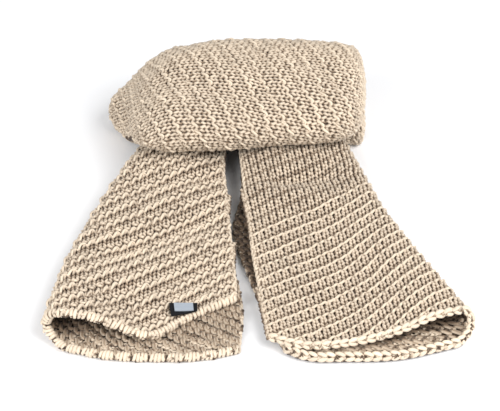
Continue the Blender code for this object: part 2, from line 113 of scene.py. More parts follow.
# And its raised strands: first and last wale, seed, lift, and 1 outside or -1 on the back
TAIL_STRANDS = (
    ("strands", 0, 30, 15, YARN_LIFT, 1),
    ("back_strands", 26, 54, 17, INNER_LIFT, -1),
)

# ---- Raised strand along each ridge, and the holes beside it ------------------------------
LEFT_STRAND = 0.00132      # radius of its yarn
RIGHT_STRAND = 0.00130
LOOP_STRAND = 0.00126
STRAND_LOOSE = 0.22        # how unevenly it lies, in courses
STRAND_UNEVEN = 0.5        # and in height, as a share of STRAND_WAVE
STRAND_LIFT = 0.00095      # how far its middle stands over the stitches'
STRAND_WAVE = 0.00060      # how far it dips between two stitches
STRAND_DIP_SHADE = (-0.8, 0.55)  # painted shade: where its wave is under the first, its depth is multiplied by the second
STRAND_TONE_AND_HIGHLIGHT = (0.8, 0.5)   # middle of its tone, set paler as a painted highlight, and its random spread
LEFT_SWAY = 0.42           # how far each stroke of it slants, in courses
RIGHT_SWAY = 0.14
LOOP_SWAY = 0.36
BACK_SWAY = 0.50           # the same on the back of the cloth
BACK_YARN = 0.00185        # and the strand's radius and lift there
BACK_LIFT = 0.00195
BACK_STEP = 0.5            # ridges from one of the back's strands to the next
FOLD_WALES = (26, 34)      # the wales over which the back comes out of the painted shade of the fold's inside
FOLD_SHADE = 0.3            # how pale painted shade leaves the back in there
RIGHT_INSIDE_SHADE = 0.42        # and beyond it on the right tail, painted shade under its upper layer; it is 1 on the left one
STRAND_POINTS = 8          # along it, for each stitch
HOLE_PHASE = 0.15          # where the holes lie, from one raised strand to the next
HOLE_LONG = 0.125          # half length of a hole, as a share of the ridge
HOLE_SHARP = 1.5           # the higher, the narrower
HOLE_DEEP = 0.00260        # how far the yarn dives in there
HOLE_CRISP = 2.6           # the higher, the sharper a hole's border

# ---- Edges --------------------------------------------------------------------------------
EDGE_STEP = 0.0025         # along the plain tube in each edge
CORE_SHADE_DEPTH = 0.0007        # height over the ground whose painted shade it is drawn with
CORD_YARN = 0.00160        # radius of the cast-on edge's strands
CORD_ROUND = 0.00215       # how far they stand from the cord's middle
CORD_BULGE = 0.00045       # and how much further in the middle of each group
CORD_CORE = 0.00190        # radius of the plain tube under them
CORD_BACK = 0.00215        # how far the cord's middle lies inside the border
CORD_LIFT = 0.00110        # and how far it is raised where the cloth faces down
CORD_TURN = math.radians(140)     # how far round the border a strand goes, each way
CORD_POINTS = 11
LEG_POINTS = 9             # along each leg of the chain and of a side border
CORD_GROUP = 4             # strands between two notches
CORD_DRAW = 0.22           # how far a group draws together, in strands
CORD_SLANT = 0.00160       # how far a group's first strand slants, each way; its last one doesn't
CORD_UNEVEN = (0.0002, 0.0001)    # along the border, and out of it
CORD_HIGHLIGHT_TONE = 1.5            # how much paler than the stitches, a painted highlight on the front-facing edge
CHAIN_PITCH = 0.0073       # from one link of the bound-off chain to the next
CHAIN_YARN = 0.00195
CHAIN_REACH = 1.10         # length of a link's leg, in pitches
CHAIN_SPREAD = 56.0        # degrees from the chain's middle to a leg's outer end
CHAIN_START = 12.0         # and to its inner end
CHAIN_DIP = 0.00150        # how far a leg's ends dive in
CHAIN_THIN = 0.30          # by what share they are thinner than its middle
CHAIN_BACK = 0.00300
CHAIN_CORE = 0.00200
CHAIN_INSET = -0.00020     # how far the chain's outside lies inside the border
CHAIN_LIFT = 0.00160
CHAIN_STATIONS = (1.0, 2.0)       # from the upper layer to the lower one, round the fold:
CHAIN_LEANS = (37.0, -35.0)       # degrees that the chain leans out of the cloth,
CHAIN_RADII = (0.0026, 0.0033)    # and how far its legs stand from its middle
CHAIN_FULL = 0.6           # the lower, the longer a leg keeps its full thickness
CHAIN_UNEVEN = 0.04        # in pitches
# painted highlight: the chain is drawn paler than the stitches, as the front-facing edge
CHAIN_HIGHLIGHT_TONE = 2.0
SIDE_ROUND = 0.00130       # the same for the slanted legs over each side border
SIDE_BACK = 0.00120
SIDE_CORE = 0.00160
SIDE_REACH = 0.6           # half length of such a leg, and its unevenness, in pairs of courses
SIDE_UNEVEN = 0.05
SIDE_ANGLE = 35            # degrees of its middle round the border, and from there to each end
SIDE_TURN = 70
SIDE_DIP = 0.0009          # how far its ends dive in
SIDE_SHADE_DEPTH = 0.85          # its place in the span of painted shade

# ---- Tails: one row a section, from the near end back ---------------------------------
# along, upper selvedge x, outermost x of the fold, lower selvedge x,
# then the height of the wall's middle at the selvedge, inner part, body and crest
LEFT_TAIL = (
    (0.000, -0.0188, -0.1725, -0.0165, 0.0096, 0.0097, 0.0185, 0.0300),
    (0.050, -0.0212, -0.1660, -0.0145, 0.0099, 0.0112, 0.0185, 0.0285),
    (0.100, -0.0245, -0.1560, -0.0220, 0.0112, 0.0150, 0.0205, 0.0265),
    (0.150, -0.0275, -0.1415, -0.0305, 0.0140, 0.0195, 0.0235, 0.0262),
    (0.200, -0.0308, -0.1250, -0.0350, 0.0175, 0.0250, 0.0280, 0.0280),
    (0.262, -0.0345, -0.1010, -0.0385, 0.0215, 0.0295, 0.0310, 0.0298),
)
RIGHT_TAIL = (
    (0.000, 0.0060, 0.1715, 0.0200, 0.0100, 0.0110, 0.0150, 0.0240),
    (0.050, 0.0007, 0.1495, 0.0030, 0.0120, 0.0140, 0.0170, 0.0238),
    (0.100, -0.0055, 0.1280, -0.0110, 0.0145, 0.0180, 0.0198, 0.0240),
    (0.150, -0.0095, 0.1085, -0.0215, 0.0185, 0.0235, 0.0232, 0.0250),
    (0.200, -0.0140, 0.0940, -0.0150, 0.0228, 0.0280, 0.0280, 0.0276),
    (0.262, -0.0185, 0.0770, -0.0160, 0.0245, 0.0305, 0.0310, 0.0298),
)
HEIGHT_STATIONS = (0.0, 0.30, 0.62, 0.92, 1.0)

# How far each near edge is drawn back. Station 0 is the upper selvedge, 1 the crest,
# 2 the foot of the fold and 3 the lower selvedge.
LEFT_SETBACK = (
    (0.00, 0.0620), (0.18, 0.0480), (0.30, 0.0370), (0.50, 0.0165), (0.72, 0.0200),
    (1.00, 0.0235), (1.50, 0.0260), (2.00, 0.0120), (2.20, 0.0040), (2.50, 0.0000),
    (2.80, 0.0020), (3.00, 0.0090),
)
RIGHT_SETBACK = (
    (0.00, 0.0180), (0.16, 0.0085), (0.43, 0.0090), (0.69, 0.0180), (0.90, 0.0290),
    (1.00, 0.0330), (1.50, 0.0300), (2.00, 0.0160), (2.35, 0.0020), (2.65, 0.0000),
    (2.90, 0.0020), (3.00, 0.0090),
)

# How far back a course lies, by its length across the cloth from the upper selvedge
LEFT_COURSES = ((0.000, 0.033), (0.150, 0.014), (0.190, 0.014), (0.240, 0.002), (0.340, 0.006))
RIGHT_COURSES = (
    (0.000, 0.004), (0.070, 0.004), (0.150, 0.026), (0.185, 0.024), (0.240, 0.003), (0.340, 0.006),
)

# Soft troughs (depth over 0) and ridges (depth under 0) in the upper layers, in plan:
# from x, y to x, y, then half width and depth
LEFT_CREASES = (
    (-0.050, 0.150, -0.150, 0.082, 0.014, 0.0050),
    (-0.045, 0.118, -0.120, 0.068, 0.012, -0.0022),
    (-0.135, 0.058, -0.085, 0.022, 0.016, 0.0030),
    (-0.040, 0.205, -0.118, 0.178, 0.010, 0.0028),
)
RIGHT_CREASES = (
    (0.018, 0.192, 0.090, 0.206, 0.010, 0.0062),
    (-0.002, 0.180, 0.060, 0.166, 0.012, -0.0034),
    (0.020, 0.108, 0.125, 0.070, 0.016, 0.0018),
    (-0.004, 0.228, 0.045, 0.232, 0.009, -0.0016),
)

# ---- Heaped folds of the neck loop: one row a section, left to right ---------------------
# x, then y of the front, back and crest, then z of the crest, front nose, back nose, underside
NECK_WRAP = (
    (-0.1360, 0.2985, 0.3110, 0.3040, 0.0270, 0.0190, 0.0190, 0.0130),
    (-0.1330, 0.2940, 0.3160, 0.3030, 0.0330, 0.0180, 0.0190, 0.0060),
    (-0.1265, 0.2840, 0.3220, 0.3010, 0.0400, 0.0190, 0.0210, 0.0040),
    (-0.1180, 0.2680, 0.3280, 0.2970, 0.0480, 0.0240, 0.0270, 0.0070),
    (-0.1080, 0.2340, 0.3330, 0.2920, 0.0580, 0.0400, 0.0400, 0.0320),
    (-0.0850, 0.2160, 0.3400, 0.2930, 0.0775, 0.0490, 0.0520, 0.0362),
    (-0.0600, 0.2155, 0.3440, 0.2950, 0.0840, 0.0520, 0.0560, 0.0362),
    (-0.0200, 0.2175, 0.3460, 0.2960, 0.0865, 0.0530, 0.0580, 0.0362),
    (0.0200, 0.2240, 0.3460, 0.2960, 0.0865, 0.0530, 0.0580, 0.0362),
    (0.0550, 0.2275, 0.3450, 0.2960, 0.0850, 0.0525, 0.0570, 0.0362),
    (0.0740, 0.2320, 0.3430, 0.2965, 0.0830, 0.0510, 0.0560, 0.0362),
    (0.0850, 0.2430, 0.3400, 0.2990, 0.0805, 0.0490, 0.0540, 0.0362),
    (0.0900, 0.2540, 0.3360, 0.3040, 0.0755, 0.0480, 0.0520, 0.0362),
    (0.0930, 0.2670, 0.3290, 0.3080, 0.0680, 0.0470, 0.0490, 0.0365),
    (0.0945, 0.2800, 0.3220, 0.3110, 0.0590, 0.0450, 0.0450, 0.0380),
)
NECK_UNDERFOLD = (
    (-0.1040, 0.2900, 0.3180, 0.3030, 0.0120, 0.0060, 0.0060, 0.0000),
    (-0.1000, 0.2780, 0.3280, 0.3030, 0.0220, 0.0110, 0.0110, 0.0000),
    (-0.0920, 0.2700, 0.3360, 0.3030, 0.0320, 0.0160, 0.0160, 0.0000),
    (-0.0750, 0.2670, 0.3400, 0.3030, 0.0340, 0.0170, 0.0170, 0.0000),
    (-0.0200, 0.2670, 0.3420, 0.3030, 0.0340, 0.0170, 0.0170, 0.0000),
    (0.0400, 0.2670, 0.3420, 0.3030, 0.0340, 0.0170, 0.0170, 0.0000),
    (0.0700, 0.2670, 0.3410, 0.3030, 0.0340, 0.0170, 0.0170, 0.0000),
    (0.0835, 0.2713, 0.3380, 0.3000, 0.0339, 0.0170, 0.0170, 0.0000),
    (0.0905, 0.2713, 0.3310, 0.2950, 0.0330, 0.0165, 0.0165, 0.0000),
    (0.0940, 0.2750, 0.3190, 0.2930, 0.0280, 0.0150, 0.0150, 0.0000),
    (0.0955, 0.2840, 0.3060, 0.2940, 0.0220, 0.0120, 0.0120, 0.0030),
)
# Creases as in the tails
WRAP_CREASES = (
    (-0.085, 0.272, 0.045, 0.238, 0.016, 0.0045),
    (-0.003, 0.318, 0.003, 0.262, 0.009, 0.0030),
    (0.030, 0.300, 0.085, 0.262, 0.012, 0.0022),
    (-0.110, 0.300, -0.060, 0.330, 0.012, 0.0025),
)
WRAP_CAPS = (0.0005, 0.0012)      # how far the flat domes at its ends reach out
UNDERFOLD_CAPS = (0.0010, 0.0008)
DOME_SHARES = (0.4, 0.7, 0.88, 0.97, 0.999)    # where each dome has a section

GRID_STEP = 0.0015         # spacing of the maps that carry the stitches
TAIL_STATIONS = 241        # points across a tail in its map
RIM_STATIONS = 481         # and along its near end
HEAP_SECTIONS = 161        # sections of a heaped fold, without its domes
ARCH_POINTS = 240          # points on each quarter of a heaped fold's outline
TAIL_SKIN = (60, 81)       # points of a tail's ground cloth, along and across
HEAP_SKIN = (54, 16)       # points of a heaped fold's, over it and under it
HEAP_SKIN_STEP = 2         # sections from one of its rows to the next
SKIN_TURN = (1.5, 2.0)     # stations over which a tail's ground cloth moves outward

# ---- Colours and viewpoint ----------------------------------------------------------------
CREAMS = ((0.73, 0.610, 0.470, 1), (0.61, 0.508, 0.395, 1))
SHADE_BROWNS = ((0.045, 0.025, 0.014, 1), (0.225, 0.155, 0.100, 1))    # painted shade, deep in the cloth and higher up
SHADE_RANGES = ((0.06, 0.50), (0.46, 1.00))    # shares of the span above over which the painted shade goes brown to brown, then to cream
TONE_STEP = 0.055          # how much paler one step of a stitch's tone is
FIBRE_SHADES = (0.24, 0.88)       # how much the fibres vary the colour, and from where
PLIES = 3
PLY_TWIST = 1.6            # turns of the plies in one turn's length round the yarn
# painted shade: the ground cloth, seen through the holes, as dark as the deepest gaps
GROUND_SHADE_BROWNS = ((0.040, 0.022, 0.013, 1), (0.10, 0.058, 0.034, 1))
TAPE_BLACKS = ((0.004, 0.004, 0.005, 1), (0.014, 0.014, 0.016, 1))
PLATE_GREYS = ((0.33, 0.37, 0.42, 1), (0.50, 0.55, 0.61, 1))
FLOOR_WHITE = (0.93, 0.93, 0.94)
SKY_WHITE = (0.97, 0.985, 1, 1)
SKY_STRENGTH = 0.42
CAMERA_PLACE = (-0.0073, -1.1110, 0.9492)
CAMERA_TILT = math.radians(50)
CAMERA_LENS = 121.68       # millimetres


# ---- Curves through table values ----------------------------------------------------------
def curve(at, knots_at, knots):
    """Smooth curve through the knots, read at each place in at."""
    knots_at = np.asarray(knots_at, float)
    knots = np.asarray(knots, float)
    at = np.asarray(at, float)
    steps = np.diff(knots_at)
    rises = np.diff(knots) / steps
    slopes = np.empty_like(knots)
    slopes[1:-1] = (rises[:-1] * steps[1:] + rises[1:] * steps[:-1]) / (steps[:-1] + steps[1:])
    slopes[0] = rises[0]
    slopes[-1] = rises[-1]
    span = np.clip(np.searchsorted(knots_at, at, side="right") - 1, 0, len(steps) - 1)
    step = steps[span]
    t = np.clip((at - knots_at[span]) / step, 0.0, 1.0)
    blend = t * t * (3 - 2 * t)
    start_pull = t * (1 - t) ** 2
    end_pull = t * t * (1 - t)
    line = knots[span] * (1 - blend) + knots[span + 1] * blend
    return line + step * (start_pull * slopes[span] - end_pull * slopes[span + 1])


def ridge_height(phase):
    """Share of a ridge's height at a phase, where each whole number starts a new ridge."""
    places, heights = zip(*RIDGE_PROFILE)
    return np.interp(np.mod(phase, 1.0), places, heights)


def trough(x, y, creases):
    """Depth of the soft creases at the plan points x, y."""
    depth = np.zeros(np.broadcast(x, y).shape)
    for x0, y0, x1, y1, width, deep in creases:
        run = np.array((x1 - x0, y1 - y0))
        length = math.hypot(*run)
        along = ((x - x0) * run[0] + (y - y0) * run[1]) / length ** 2
        nearest = np.clip(along, 0.0, 1.0)
        away = np.hypot(x - x0 - nearest * run[0], y - y0 - nearest * run[1])
        depth = depth + deep * np.exp(-((away / width) ** 2))
    return depth


def lengths(points, axis):
    """Running length of the lines of points along an axis."""
    steps = np.linalg.norm(np.diff(points, axis=axis), axis=2)
    start = np.zeros_like(np.take(steps, [0], axis=axis))
    return np.concatenate((start, np.cumsum(steps, axis=axis)), axis=axis)


def normals(points, side):
    """Unit normals of a grid of points."""
    across = np.gradient(points, axis=1)
    along = np.gradient(points, axis=0)
    out = np.cross(across, along) * side
    return out / np.linalg.norm(out, axis=2, keepdims=True)


# ---- The folded cloth ---------------------------------------------------------------------
def tail_middle(table, setback, creases, side, alongs, stations):
    """Middle of a tail's wall: an upper layer, a round fold at its outer side, a lower layer."""
    table = np.asarray(table)
    alongs = np.asarray(alongs, float)[:, None]
    stations = np.asarray(stations, float)[None, :]
    column = [curve(alongs, table[:, 0], table[:, i]) for i in range(1, 8)]
    inner_x, outer_x, under_x, edge_z, inner_z, body_z, crest_z = column
    radius = (crest_z - FLOOR_Z) / 2
    fold_x = outer_x - side * (FLOOR_Z + radius)

    fade = 1 - alongs / TAIL_LENGTH
    places, backs = zip(*setback)
    y = alongs + curve(stations, places, backs) * fade

    upper = np.clip(stations, 0.0, 1.0)
    heights = (edge_z, inner_z, body_z, crest_z, crest_z)
    top_z = np.empty(np.broadcast(alongs, stations).shape)
    for row in range(top_z.shape[0]):
        knots = [height[row, 0] for height in heights]
        top_z[row] = curve(upper[0], HEIGHT_STATIONS, knots)
    top_x = inner_x + (fold_x - inner_x) * upper
    fold_fade = np.clip((1.0 - upper) / CREASE_FADE, 0.0, 1.0)
    top_z = top_z - trough(top_x, y, creases) * fold_fade
    top_z = np.maximum(top_z, FLOOR_Z + WALL + LAYER_GAP)

    turn = math.pi * np.clip(stations - 1.0, 0.0, 1.0)
    round_x = fold_x + side * radius * np.sin(turn)
    round_z = FLOOR_Z + radius * (1 + np.cos(turn))

    lower = np.clip(stations - 2.0, 0.0, 1.0)
    low_x = fold_x + (under_x - fold_x) * lower

    x = np.where(stations < 1.0, top_x, np.where(stations < 2.0, round_x, low_x))
    z = np.where(stations < 1.0, top_z, np.where(stations < 2.0, round_z, FLOOR_Z))
    return np.stack((x, y + 0 * x, z), axis=2)


def arch(front_y, back_y, crest_y, crest_z, nose_z, back_z, under_z):
    """Outline of one section from the front underside, over the crest, to the back underside.

    Returns y, z and the place of the crest in them.
    """
    lip = min(LIP, (back_y - front_y) * LIP_SHARE)
    turn = np.linspace(0.0, math.pi / 2, ARCH_POINTS)
    low_front_y = front_y + lip * (1 - np.sin(turn))
    low_front_z = nose_z - (nose_z - under_z) * np.cos(turn)
    face_y = crest_y - (crest_y - front_y) * np.cos(turn) ** FRONT_FULLNESS
    face_z = nose_z + (crest_z - nose_z) * np.sin(turn) ** FRONT_FULLNESS
    back_face_y = crest_y + (back_y - crest_y) * np.sin(turn) ** BACK_FULLNESS
    back_face_z = back_z + (crest_z - back_z) * np.cos(turn) ** BACK_FULLNESS
    low_back_y = back_y - lip * (1 - np.cos(turn))
    low_back_z = back_z - (back_z - under_z) * np.sin(turn)
    y = np.concatenate((low_front_y, face_y[1:], back_face_y[1:], low_back_y[1:]))
    z = np.concatenate((low_front_z, face_z[1:], back_face_z[1:], low_back_z[1:]))
    return y, z, 2 * ARCH_POINTS - 2


class Cloth:
    """A regular map of a cloth, by lengths across and along it in metres.

    A stitch's own place u, v is turned into these by lattice. on says which of the map's places
    are on the cloth: past its borders the map runs on by OVERRUN of the way.
    """

    def __init__(self, across, along, points, out, on, lattice):
        self.across = across
        self.along = along
        self.points = points
        self.out = out
        self.on = on
        self.lattice = np.asarray(lattice)

    def place(self, u, v):
        """Rows and columns of the map, not whole numbers, at the cloth places u, v."""
        across, along = (m[0] * u + m[1] * v for m in self.lattice)
        row = (along - self.along[0]) / GRID_STEP
        column = (across - self.across[0]) / GRID_STEP
        return row, column

    def holds(self, u, v):
        """True where u, v are on the cloth."""
        row, column = (np.rint(at).astype(int) for at in self.place(u, v))
        inside = (row >= 0) & (row < len(self.along)) & (column >= 0) & (column < len(self.across))
        row = np.clip(row, 0, len(self.along) - 1)
        column = np.clip(column, 0, len(self.across) - 1)
        return inside & self.on[row, column]

    def at(self, u, v):
        """Points and outward normals at cloth places u, v."""
        row, column = self.place(u, v)
        low_row = np.clip(row.astype(int), 0, len(self.along) - 2)
        low_column = np.clip(column.astype(int), 0, len(self.across) - 2)
        b = (row - low_row)[..., None]
        a = (column - low_column)[..., None]
        found = []
        for grid in (self.points, self.out):
            low = grid[low_row, low_column] * (1 - a) + grid[low_row, low_column + 1] * a
            high = grid[low_row + 1, low_column] * (1 - a) + grid[low_row + 1, low_column + 1] * a
            found.append(low * (1 - b) + high * b)
        points, out = found
        return points, unit(out)


def shown(name, data):
    """A new object in the scene."""
    made = bpy.data.objects.new(name, data)
    bpy.context.scene.collection.objects.link(made)
    return made


def unit(vectors):
    """The same directions, one long."""
    size = np.linalg.norm(vectors, axis=-1, keepdims=True)
    return vectors / np.maximum(size, 1e-9)


def read_row(targets, run, values, overrun=0.0):
    """Values along one line at the target lengths, running on a little past its ends."""
    read = np.stack([np.interp(targets, run, values[:, i]) for i in range(3)], axis=1)
    first = (values[1] - values[0]) / (run[1] - run[0])
    last = (values[-1] - values[-2]) / (run[-1] - run[-2])
    read += overrun * np.minimum(targets - run[0], 0.0)[:, None] * first
    read += overrun * np.maximum(targets - run[-1], 0.0)[:, None] * last
    return read


def read_rows(targets, runs, lines, overrun=0.0):
    """What read_row gives, for many lines, one a row."""
    return np.stack([read_row(targets, *pair, overrun) for pair in zip(runs, lines)])


class Tail:
    """A tail's shape and the way its stitches lie."""

    def __init__(self, name, table, setback, creases, courses, pattern, drift, side):
        self.name = name
        self.shape = (table, setback, creases, side)
        self.side = side
        self.courses = courses
        self.drift = drift
        self.pattern = pattern

    def middle(self, alongs, stations):
        """Points in the middle of the wall, and their outward normals."""
        points = tail_middle(*self.shape, alongs, stations)
        return points, normals(points, self.side)

    def cloth(self):
        """Map of the tail: across from the upper selvedge round the fold, along from near end."""
        alongs = np.arange(0.0, TAIL_LENGTH + GRID_STEP, GRID_STEP)
        points, out = self.middle(alongs, np.linspace(0.0, 3.0, TAIL_STATIONS))
        run = lengths(points, 1)
        across = np.arange(0.0, run[:, -1].max(), GRID_STEP)
        wide = read_rows(across, run, points, OVERRUN)
        wide_out = read_rows(across, run, out)
        places, backs = zip(*self.courses)
        depth = wide[:, :, 1] - curve(across, places, backs)
        depth = np.maximum.accumulate(depth + 1e-7 * np.arange(len(alongs))[:, None], axis=0)
        along = np.arange(depth.min(), depth.max(), GRID_STEP)
        level = read_rows(along, depth.T, wide.swapaxes(0, 1), OVERRUN).swapaxes(0, 1)
        level_out = read_rows(along, depth.T, wide_out.swapaxes(0, 1)).swapaxes(0, 1)
        reach = np.stack([np.interp(along, column, run[:, -1]) for column in depth.T], axis=1)
        on = (along[:, None] >= depth[0]) & (along[:, None] <= depth[-1]) & (across <= reach)
        on &= level[..., 1] < TAIL_LENGTH
        lattice = ((1.0, -self.drift), (0.0, 1.0))
        return Cloth(across, along, level + FRAME_SHIFT, level_out, on, lattice)


def heap_sections(table, caps):
    """Sections of a heaped fold, closed by a flat dome at each end, as rows of its table.

    caps are how far the domes reach out, in metres.
    """
    table = np.asarray(table)
    places = np.linspace(table[0, 0], table[-1, 0], HEAP_SECTIONS)
    rows = np.stack([places] + [curve(places, table[:, 0], table[:, i]) for i in range(1, 8)], 1)
    rows[:, 7] = np.maximum(rows[:, 7], 0.0)

    def dome(row, reach):
        middle_y, middle_z = (row[1] + row[2]) / 2, (row[4] + row[7]) / 2
        middle = np.array((0.0, *[middle_y] * 3, *[middle_z] * 4))
        closing = []
        for share in DOME_SHARES:
            shrunk = middle + (row - middle) * math.sqrt(1 - share ** 2)
            shrunk[0] = row[0] + reach * share
            closing.append(shrunk)
        return closing

    first, last = dome(rows[0], -caps[0]), dome(rows[-1], caps[1])
    return np.concatenate((first[::-1], rows, last))


def section_line(row, creases):
    """Points over one section of a heaped fold, and their lengths from its crest."""
    y, z, crest = arch(*row[1:])
    fullness = np.clip((z - row[7]) / HEAP_FADE, 0.0, 1.0)
    z = z - trough(row[0] + 0 * y, y, creases) * fullness
    line = np.stack((row[0] + 0 * y, y, z), axis=1)
    run = lengths(line[None], 1)[0]
    return line, run[crest] - run


def heap_cloth(table, creases, caps):
    """Map of a heaped fold: across from the crest, front positive, along X from its middle."""
    lines, runs = zip(*(section_line(row, creases) for row in heap_sections(table, caps)))
    grid = np.stack(lines)
    out = normals(grid, -1)
    grid = grid - out * HEAP_SINK
    reach = max(run[0] for run in runs)
    back = min(run[-1] for run in runs)
    across = np.arange(back, reach, GRID_STEP)
    back_to_front = [run[::-1] for run in runs]
    points = read_rows(across, back_to_front, grid[:, ::-1], OVERRUN)
    turned = read_rows(across, back_to_front, out[:, ::-1])
    on = np.stack([(across >= run[-1]) & (across <= run[0]) for run in runs])
    middle = int(np.argmin(np.abs(grid[:, 0, 0])))
    along_each = lengths(points, 0)
    along_each -= along_each[middle]
    along_each = along_each * (1 - EVENING) + along_each.mean(axis=1, keepdims=True) * EVENING
    along = np.arange(along_each.min(), along_each.max(), GRID_STEP)
    even = read_rows(along, along_each.T, points.swapaxes(0, 1), OVERRUN).swapaxes(0, 1)
    even_out = read_rows(along, along_each.T, turned.swapaxes(0, 1)).swapaxes(0, 1)
    shares = [np.interp(along, *pair) for pair in zip(along_each.T, on.T.astype(float))]
    even_on = np.stack(shares, axis=1) > 0.5
    even_on &= (along[:, None] >= along_each[0]) & (along[:, None] <= along_each[-1])
    sin, cos = math.sin(LOOP_TURN), math.cos(LOOP_TURN)
    return Cloth(across, along, even + FRAME_SHIFT, even_out, even_on, ((cos, sin), (-sin, cos)))


# ---- Stitches -----------------------------------------------------------------------------
def face_of(wale, course, pattern):
    """1 where a stitch shows its knit face and -1 where it shows its purl face."""
    place = pattern.upward * (course - pattern.lean * wale)
    return np.where(np.mod(place, REPEAT) < pattern.knits, 1.0, -1.0)


class Pattern:
    """The diagonal rib: where its ridges and holes lie at a cloth place u, v.

    tall is one course. lean is how the ridges run over the wales. flow is 1 where the scarf was
    knitted towards +v, and upward is 1 where its loops look that way. knits is how many of the
    REPEAT courses show their knit face, and inside how pale painted shade leaves the cloth's back.
    """

    def __init__(self, tall, lean, upward, flow, rise, thick, sway, strand_thick, knits, inside):
        self.tall = tall
        self.thick = thick
        self.sway = sway
        self.strand_thick = strand_thick
        self.knits = knits
        self.inside = inside
        self.lean = lean
        self.upward = upward
        self.flow = flow
        self.rise = rise
        self.bump = upward * KNIT_COURSES + 0.5 + upward * (LOOP_TALL - 1)

    def phase(self, u, v):
        """Place between two raised strands, a whole number on each."""
        steps = v / self.tall - self.lean * (u / STITCH_WIDE - 0.5) - self.bump
        return self.flow * steps / REPEAT + BUMP_PHASE

    def strand(self, ridge):
        """Place of a raised strand, in courses, in the middle of wale 0."""
        return self.bump + self.flow * REPEAT * (ridge - BUMP_PHASE)

    def swell(self, u, v, out):
        """Height of the ridges, gone where the cloth faces down."""
        fade = np.clip((out[..., 2] + SWELL_GONE) / SWELL_FADE, 0.0, 1.0)
        return self.rise * (ridge_height(self.phase(u, v)) - RIDGE_LEVEL) * fade

    def hole(self, u, v):
        """1 in the middle of each small hole beside the raised strands, 0 away from them."""
        off = np.mod(self.phase(u, v) - HOLE_PHASE + 0.5, 1.0) - 0.5
        beside = np.maximum(np.cos(2 * np.pi * u / STITCH_WIDE), 0.0) ** HOLE_SHARP
        return np.minimum(HOLE_CRISP * beside * np.exp(-((off / HOLE_LONG) ** 2)), 1.0)


def loop_paths(wales, courses, pattern, segments, seed):
    """Paths of all the loops as cloth places u, v and height h, course by course."""
    lean, upward = pattern.lean, pattern.upward
    t = np.linspace(-0.5, 0.5, segments + 1)
    i = wales[None, :, None].astype(float)
    j = courses[:, None, None].astype(float)
    own = face_of(i, j, pattern)
    above = face_of(i, j + upward, pattern)
    before = (own + face_of(i - 1, j, pattern)) / 2
    after = (own + face_of(i + 1, j, pattern)) / 2
    random = np.random.default_rng(seed)
    shape = (len(courses), len(wales), 1)
    loose = [1 + JITTER * random.standard_normal(shape) for _ in range(3)]
    middle = (1 + np.cos(2 * np.pi * t)) / 2
    u = (i + 0.5 + t + LOOP_LEAN * loose[0] * np.sin(4 * np.pi * t)) * STITCH_WIDE
    rise = LOOP_TALL * (np.cos(2 * np.pi * t) + (loose[1] - 1) * 2 * middle)
    wave = -np.cos(4 * np.pi * t)
    foot = np.where(t < 0, before, after)
    back = np.where(np.abs(t) < 0.25, above, foot)
    slant = np.clip(np.cos(2 * np.pi * t), 0.0, 1.0) * (above < 0)
    v = (j + 0.5 + upward * rise + lean * PURL_SLANT * t * slant) * pattern.tall
    bold = np.where((back < 0) & (np.abs(t) >= 0.25), PURL_FOOT, 1.0)
    h = LOOP_DEEP * loose[2] * (np.maximum(wave, 0) * own + np.minimum(wave, 0) * back * bold)
    return u, v, h


def strands(valid):
    """Starts and ends of the unbroken runs in a row of true and false."""
    edges = np.diff(np.concatenate(([0], valid.astype(int), [0])))
    return list(zip(np.nonzero(edges == 1)[0], np.nonzero(edges == -1)[0]))


